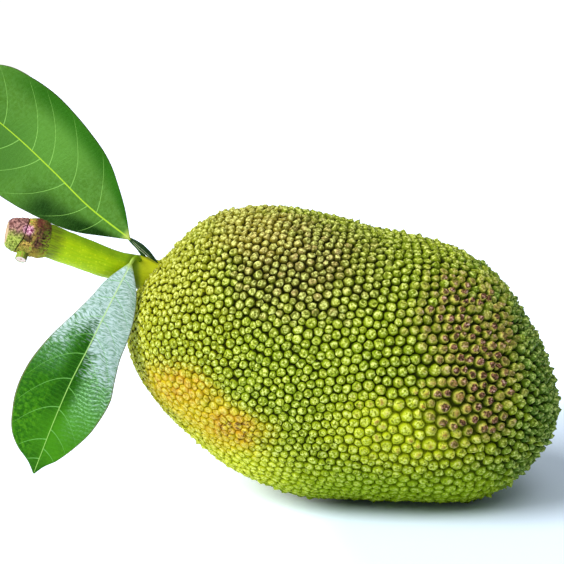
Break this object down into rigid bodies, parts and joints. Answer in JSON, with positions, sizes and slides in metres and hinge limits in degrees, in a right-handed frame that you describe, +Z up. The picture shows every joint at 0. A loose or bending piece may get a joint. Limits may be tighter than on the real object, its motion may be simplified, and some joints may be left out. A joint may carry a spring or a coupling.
{
  "type": "jackfruit",
  "caption": "Whole jackfruit lying on its side, with a tubercled green rind, a cut stalk and glossy leaves at its stalk end.",
  "frame": {"origin": "middle of the flat spot that the fruit rests on, on the floor plane", "axes": "+X towards the blossom end, +Y away from the side that the lower leaf hangs on, +Z up"},
  "size_m": [0.4645, 0.2176, 0.3202],
  "materials": {
    "rind": "matte living rind, yellow-green tubercles with olive grooves and brown tips",
    "green_stalk": "smooth, bright green living stalk with a soft sheen",
    "corky_bark": "rough, flaky brown cork with a pink and lime cut face",
    "cut_twig": "smooth green skin with a pale, freshly cut end",
    "upper_leaf": "satin mid-green leaf with pale yellow-green veins",
    "lower_leaf": "glossy green leaf with pale veins",
    "young_leaf": "glossy dark green leaf with a pale midrib"
  },
  "bodies": {
    "root": {"fruit": "rind", "stalk": "green_stalk", "branch_collar": "corky_bark", "side_stub": "cut_twig", "upper_leaf": "upper_leaf", "lower_leaf": "lower_leaf", "young_leaf": "young_leaf"}
  },
  "joints": []
}
